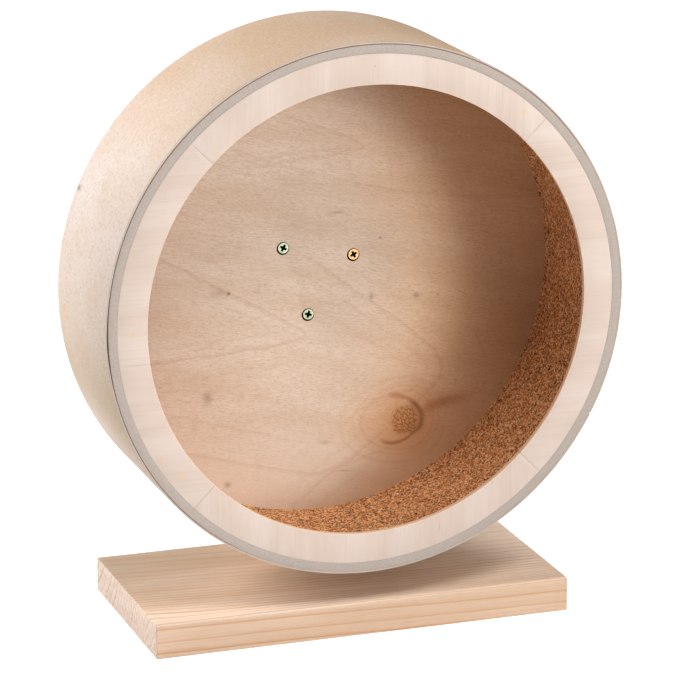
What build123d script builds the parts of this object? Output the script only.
from build123d import *
import math
import os

# A free-standing wooden exercise wheel for a small rodent. Lengths are millimetres.
# X is left to right seen from the open side, +Y points to the back and +Z up.
# The origin is the centre of the base board's underside. The wheel turns about a line along Y.

# Wheel
wheel_diameter = 280.0
wheel_depth = 92.0
axis_height = 176.0
base_setback = 4.0  # the wheel's front stands this far in front of the base board
skin_thickness = 0.8
wall_thickness = 5.0
tread_thickness = 2.0
disc_thickness = 6.0
ring_thickness = 3.0
opening_diameter = 236.8
edge_chamfer = 0.3
strip_gap = 0.4  # where the two ends of a bent strip meet
skin_gap_angle = -28.0
tread_gap_angle = 118.0

# Base board and upright board
base_length = 229.0
base_depth = 112.5
base_thickness = 18.5
base_round = 2.5
base_small_round = 0.8
upright_width = 70.0
upright_thickness = 18.0
upright_round = 2.0
upright_screw_spacing = 24.0

# Hub
hub_diameter = 64.0
hub_thickness = 15.0
hub_chamfer = 2.0
hub_screw_circle = 46.3
hub_screw_angles = (20.5, 140.5, 260.5)

# Fasteners: diameter, length, head diameter
hub_screw = (3.0, 16.0, 6.0)
upright_screw = (4.0, 40.0, 8.0)
screw_sink = 0.3  # how far a screw head lies under the wood's face
screw_rim_height = 0.3
screw_tip_taper = 1.6  # length of the pointed end, in shank radii
screw_tip_blunt = 0.2  # radius left at the point, in shank radii
recess_depth = 0.45  # of the driver's cross, in head diameters
recess_reach = 0.30
recess_half_width = 0.10
recess_floor = 0.45  # size of the cross's bottom against its mouth
pilot_spare = 1.0  # how much deeper a pilot hole is than its screw
axle_diameter = 8.0
axle_length = 50.0
hex_width = 13.0
bolt_head_height = 5.3
thin_nut_height = 4.0
lock_nut_height = 8.0
nut_collar_height = 2.2
nut_collar_inset = 0.5  # of the round collar, inside the hexagon's flats
nut_collar_wall = 0.8
nut_collar_lip = 0.4
nut_insert_gap = 0.3
hex_corner_angle = 30.0
axle_tip_chamfer = 0.8
washer_diameter = 16.0
washer_thickness = 1.6
end_washer_thickness = 1.0
inner_stack_diameter = 12.0  # what bears on a bearing's inner ring alone

# Ball bearings, 22 x 8 x 7
bearing_outer = 22.0
bearing_width = 7.0
pitch_radius = 7.5
ball_radius = 1.984
ball_count = 7
groove_radius = 2.04
inner_shoulder_radius = 6.05
outer_shoulder_radius = 9.2
shield_seat_radius = 9.9
shield_thickness = 0.35
shield_depth = 0.4  # from the bearing's face to the shield
shield_clearance = 0.35
shield_dish = 0.25
shield_dish_width = 1.0
ring_corner = 0.3
cage_inner_radius = 6.8
cage_outer_radius = 8.2
cage_open_reach = 1.2  # past the balls' centres on the side where they snap in
cage_back_reach = 2.6
shoulder_bore_radius = 9.5

clearance = 0.05  # loose fit of a fastener in its hole
washer_clearance = 0.2

# Worked out from the above
wheel_radius = wheel_diameter / 2
wall_outer = wheel_radius - skin_thickness
wall_inner = wall_outer - wall_thickness
tread_inner = wall_inner - tread_thickness
front = -base_depth / 2 - base_setback
back = front + wheel_depth
disc_front = back - disc_thickness
ring_back = front + ring_thickness
hub_back = back + hub_thickness
upright_front = base_depth / 2
upright_back = upright_front + upright_thickness
hub_nut_front = hub_back + washer_thickness
hub_nut_back = hub_nut_front + thin_nut_height
rear_bearing_front = upright_back - bearing_width
front_bearing_back = upright_front + bearing_width
end_washer_back = upright_back + end_washer_thickness
lock_nut_hex = lock_nut_height - nut_collar_height
nut_collar_radius = hex_width / 2 - nut_collar_inset
nut_insert_radius = nut_collar_radius - nut_collar_wall
hex_corner_radius = hex_width / math.sqrt(3)
axle_radius = axle_diameter / 2 - clearance
bolt_seat = back + bolt_head_height + clearance


def facing(y):
    """Plane across the wheel's axis at y: local x is +X, local y is +Z and its normal is -Y."""
    return Plane(origin=(0, y, axis_height), x_dir=(1, 0, 0), z_dir=(0, -1, 0))


def along(y, x=0.0, z=axis_height):
    """Location that turns a piece made about Z to lie along +Y from y."""
    return Plane(origin=(x, y, z), x_dir=(1, 0, 0), z_dir=(0, 1, 0)).location


def forward(y, x, z):
    """Location that turns a piece made about Z to lie along -Y from y."""
    return Plane(origin=(x, y, z), x_dir=(1, 0, 0), z_dir=(0, -1, 0)).location


def slab(sketch, y_front, y_back):
    """A flat piece of the sketch's outline, centred on the wheel's axis."""
    return extrude(facing(y_back) * sketch, amount=y_back - y_front)


def turned(points):
    """Revolve a closed outline of (radius, height) points about Z."""
    return revolve(Plane.XZ * Polygon(*points, align=None), Axis.Z)


def tube(outer, inner, length):
    return turned([(inner, 0), (outer, 0), (outer, length), (inner, length)])


def standing(shape, *sizes):
    """A primitive centred on Z with its foot at 0."""
    return shape(*sizes, align=(Align.CENTER, Align.CENTER, Align.MIN))


def on_axis(radius, angle):
    """X and Z of a point at this radius and angle about the wheel's axis."""
    turn = math.radians(angle)
    return radius * math.cos(turn), axis_height + radius * math.sin(turn)


def strip_end(radius, angle, y_front, y_back):
    """The slit across a bent strip where its two ends meet."""
    slit = Rot(0, 0, angle) * Pos(radius, 0) * Rectangle(4 * wall_thickness, strip_gap)
    return slab(slit, y_front, y_back)


# Drum

def drum_wall():
    c = edge_chamfer
    outline = [(wall_inner, 0), (wall_outer - c, 0), (wall_outer, c), (wall_outer, wheel_depth - c)]
    outline += [(wall_outer - c, wheel_depth), (wall_inner, wheel_depth)]
    return along(front) * turned(outline)


def drum_skin():
    c = edge_chamfer
    outline = [(wall_outer, c), (wall_outer + c, 0), (wheel_radius - c, 0), (wheel_radius, c)]
    outline += [(wheel_radius, wheel_depth - c), (wheel_radius - c, wheel_depth), (wall_outer, wheel_depth)]
    skin = along(front) * turned(outline)
    return skin - strip_end(wheel_radius, skin_gap_angle, front, back)


def cork_tread():
    tread = along(ring_back) * tube(wall_inner, tread_inner, disc_front - ring_back)
    return tread - strip_end(tread_inner, tread_gap_angle, ring_back, disc_front)


def screw_place(angle, y):
    x, z = on_axis(hub_screw_circle / 2, angle)
    return along(y, x, z)


def back_disc():
    disc = slab(Circle(wall_inner), disc_front, back)
    for angle in hub_screw_angles:
        disc -= screw_place(angle, disc_front) * screw_hole(hub_screw, disc_thickness)
    return disc


def ring_segment(middle_angle):
    """A quarter of the flat front ring, butted to its neighbours on the diagonals."""
    reach = wheel_radius
    quarter = Polygon((0, 0), (reach, -reach), (reach, reach), align=None)
    ring = Circle(wall_inner) - Circle(opening_diameter / 2)
    return slab(ring & (Rot(0, 0, middle_angle) * quarter), front, ring_back)


# Screws, made about Z with the head's face at 0 and the point at the length

def countersunk_outline(screw, grow):
    diameter, length, head = screw
    shank = diameter / 2 + grow
    rim = head / 2 + grow
    taper = rim - shank
    return shank, rim, taper, length


def cross_recess(head):
    """Tapered cross recess of a driver, as two crossed wedges."""
    long = 2 * recess_reach * head
    thin = 2 * recess_half_width * head
    floor = Pos(0, 0, recess_depth * head) * Rectangle(recess_floor * long, recess_floor * thin)
    wedge = loft([Rectangle(long, thin), floor])
    return wedge + Rot(0, 0, 90) * wedge


def wood_screw(screw):
    shank, rim, taper, length = countersunk_outline(screw, 0)
    top = screw_sink
    rim_foot = top + screw_rim_height
    tip = length - screw_tip_taper * shank
    outline = [(0, top), (rim, top), (rim, rim_foot), (shank, rim_foot + taper)]
    outline += [(shank, tip), (screw_tip_blunt * shank, length), (0, length)]
    return turned(outline) - Pos(0, 0, top) * cross_recess(head=2 * rim)


def screw_hole(screw, depth):
    """What the screw takes out of the board under its head, down to this depth."""
    shank, rim, taper, _ = countersunk_outline(screw, clearance)
    rim_foot = screw_sink + screw_rim_height
    outline = [(0, 0), (rim, 0), (rim, rim_foot), (shank, rim_foot + taper), (shank, depth), (0, depth)]
    return turned(outline)


def pilot_hole(screw, passed):
    """What the screw takes out of the second board, below the boards' joint."""
    shank, _, _, length = countersunk_outline(screw, clearance)
    return standing(Cylinder, shank, length - passed + pilot_spare)


def hub_screws():
    screw = wood_screw(hub_screw)
    return [screw_place(angle, disc_front) * screw for angle in hub_screw_angles]


def upright_screw_spots():
    return [(step * upright_screw_spacing, base_thickness / 2) for step in (-1, 0, 1)]


def upright_screws():
    screw = wood_screw(upright_screw)
    return [forward(upright_back, x, z) * screw for x, z in upright_screw_spots()]


# Stand

def base_board():
    board = standing(Box, base_length, base_depth, base_thickness)
    lengthwise = board.edges().filter_by(Axis.X)
    front_top = lengthwise.sort_by(Axis.Y)[:2].sort_by(Axis.Z)[-1]
    board = fillet(front_top, base_round)
    top = board.faces().sort_by(Axis.Z)[-1]
    board = fillet(top.edges().filter_by(Axis.Y), base_small_round)
    hole = pilot_hole(upright_screw, upright_thickness)
    for x, z in upright_screw_spots():
        board -= forward(upright_front, x, z) * hole
    return board


def upright_outline():
    post = Pos(0, -axis_height / 2) * Rectangle(upright_width, axis_height)
    return post + Circle(upright_width / 2)


def upright_board():
    board = slab(upright_outline(), upright_front, upright_back)
    rear = board.faces().sort_by(Axis.Y)[-1]
    foot = rear.edges().sort_by(Axis.Z)[0]
    board = fillet([edge for edge in rear.edges() if edge != foot], upright_round)
    board -= along(upright_front) * Cylinder(shoulder_bore_radius, 2 * upright_thickness)
    seat = standing(Cylinder, bearing_outer / 2, bearing_width)
    board -= along(upright_front) * seat
    board -= along(rear_bearing_front) * seat
    for x, z in upright_screw_spots():
        board -= forward(upright_back, x, z) * screw_hole(upright_screw, upright_thickness)
    return board


# Ball bearings, made about Z with the front face at 0

def groove():
    return Pos(pitch_radius, bearing_width / 2) * Circle(groove_radius)


def outer_ring():
    outer = bearing_outer / 2
    c = ring_corner
    seat = shield_depth + shield_thickness
    w = bearing_width
    half = [(outer_shoulder_radius, seat), (shield_seat_radius, seat), (shield_seat_radius, 0)]
    half += [(outer - c, 0), (outer, c)]
    mirrored = [(r, w - h) for r, h in reversed(half)]
    profile = Polygon(*half, *mirrored, align=None) - groove()
    return revolve(Plane.XZ * profile, Axis.Z)


def inner_ring():
    bore = axle_diameter / 2
    c = ring_corner
    w = bearing_width
    half = [(bore, c), (bore + c, 0), (inner_shoulder_radius, 0)]
    mirrored = [(r, w - h) for r, h in reversed(half)]
    profile = Polygon(*half, *mirrored, align=None) - groove()
    return revolve(Plane.XZ * profile, Axis.Z)


def shield():
    """Thin steel cover, dished a little towards the balls at its inner edge."""
    inner = inner_shoulder_radius + shield_clearance
    bend = inner + shield_dish_width
    low = shield_depth
    high = shield_depth + shield_thickness
    outline = [(inner, low + shield_dish), (bend, low), (shield_seat_radius, low)]
    outline += [(shield_seat_radius, high), (bend, high), (inner, high + shield_dish)]
    return turned(outline)


def shields(y_front):
    cover = shield()
    turned_round = Pos(0, 0, bearing_width) * Rot(180, 0, 0) * cover
    return [along(y_front) * cover, along(y_front) * turned_round]


def ball_places():
    return [Rot(0, 0, number * 360 / ball_count) * Pos(pitch_radius, 0, bearing_width / 2)
            for number in range(ball_count)]


def balls(y_front):
    return [along(y_front) * place * Sphere(ball_radius) for place in ball_places()]


def cage():
    """Crown cage: a ring on one side of the balls with a snap-in pocket round each."""
    middle = bearing_width / 2
    low = middle - cage_open_reach
    high = middle + cage_back_reach
    outline = [(cage_inner_radius, low), (cage_outer_radius, low)]
    outline += [(cage_outer_radius, high), (cage_inner_radius, high)]
    crown = turned(outline)
    wall = cage_outer_radius - cage_inner_radius
    for place in ball_places():
        crown -= place * Rot(0, 90, 0) * Cylinder(groove_radius, 3 * wall)
    return crown


# Axle and what is on it

def hexagon(height, bore):
    """Hexagon with its corners turned off at both ends and an optional bore."""
    body = extrude(RegularPolygon(hex_corner_radius, 6, rotation=30), amount=height)
    flat = hex_width / 2 - clearance
    outside = hex_corner_radius + clearance
    rise = (outside - flat) * math.tan(math.radians(hex_corner_angle))
    body &= turned([(0, 0), (flat, 0), (outside, rise), (outside, height - rise), (flat, height), (0, height)])
    if bore:
        body -= Cylinder(bore, 3 * height)
    return body


def axle_bolt():
    c = axle_tip_chamfer
    tip = bolt_head_height + axle_length
    shank = turned([(0, 0), (axle_radius, 0), (axle_radius, tip - c), (axle_radius - c, tip), (0, tip)])
    return along(bolt_seat - bolt_head_height) * (hexagon(bolt_head_height, 0) + shank)


def hub_block():
    block = standing(Cylinder, hub_diameter / 2, hub_thickness)
    block = chamfer(block.faces().sort_by(Axis.Z)[-1].edges(), hub_chamfer)
    pocket = RegularPolygon(hex_corner_radius + clearance, 6, rotation=30)
    block -= extrude(pocket, amount=bolt_seat - back)
    block -= Cylinder(axle_radius + clearance, 3 * hub_thickness)
    block = along(back) * block
    for angle in hub_screw_angles:
        block -= screw_place(angle, back) * pilot_hole(hub_screw, disc_thickness)
    return block


def thin_nut():
    return along(hub_nut_front) * hexagon(thin_nut_height, axle_radius + clearance)


def washer(y_front, diameter, thickness):
    return along(y_front) * tube(diameter / 2, axle_radius + washer_clearance, thickness)


def lock_nut():
    """Lock nut with the round collar that holds the nylon ring."""
    inner = nut_insert_radius
    outer = nut_collar_radius
    top = lock_nut_height
    lip = nut_collar_lip
    outline = [(inner, lock_nut_hex - lip), (outer, lock_nut_hex - lip), (outer, top - lip)]
    outline += [(outer - lip, top), (inner, top)]
    body = hexagon(lock_nut_hex, axle_radius + clearance)
    return along(end_washer_back) * (body + turned(outline))


def lock_nut_insert():
    height = nut_collar_height - nut_insert_gap
    return along(end_washer_back + lock_nut_hex) * tube(nut_insert_radius, axle_radius, height)


def axle_spacer():
    return washer(hub_nut_back, inner_stack_diameter, upright_front - hub_nut_back)


def bearing_sleeve():
    return washer(front_bearing_back, inner_stack_diameter, rear_bearing_front - front_bearing_back)


def save(name, shape):
    """Write one piece, or a list of like pieces as one group of separate solids."""
    if isinstance(shape, list):
        shape = Compound([piece.solid() for piece in shape])
    export_step(shape, f"parts/{name}.step")


os.makedirs("parts", exist_ok=True)

save("base_board", base_board())
save("upright_board", upright_board())
save("upright_screws", upright_screws())

save("drum_wall", drum_wall())
save("drum_skin", drum_skin())
save("cork_tread", cork_tread())
save("back_disc", back_disc())
for side, angle in {"right": 0, "top": 90, "left": 180, "bottom": 270}.items():
    save(f"ring_segment_{side}", ring_segment(angle))

save("hub_block", hub_block())
save("hub_screws", hub_screws())
save("axle_bolt", axle_bolt())
save("hub_washer", washer(hub_back, washer_diameter, washer_thickness))
save("hub_nut", thin_nut())
save("axle_spacer", axle_spacer())
save("bearing_sleeve", bearing_sleeve())
save("end_washer", washer(upright_back, inner_stack_diameter, end_washer_thickness))
save("lock_nut", lock_nut())
save("lock_nut_insert", lock_nut_insert())

for place, y_front in {"front": upright_front, "rear": rear_bearing_front}.items():
    save(f"{place}_bearing_outer_ring", along(y_front) * outer_ring())
    save(f"{place}_bearing_inner_ring", along(y_front) * inner_ring())
    save(f"{place}_bearing_shields", shields(y_front))
    save(f"{place}_bearing_cage", along(y_front) * cage())
    save(f"{place}_bearing_balls", balls(y_front))
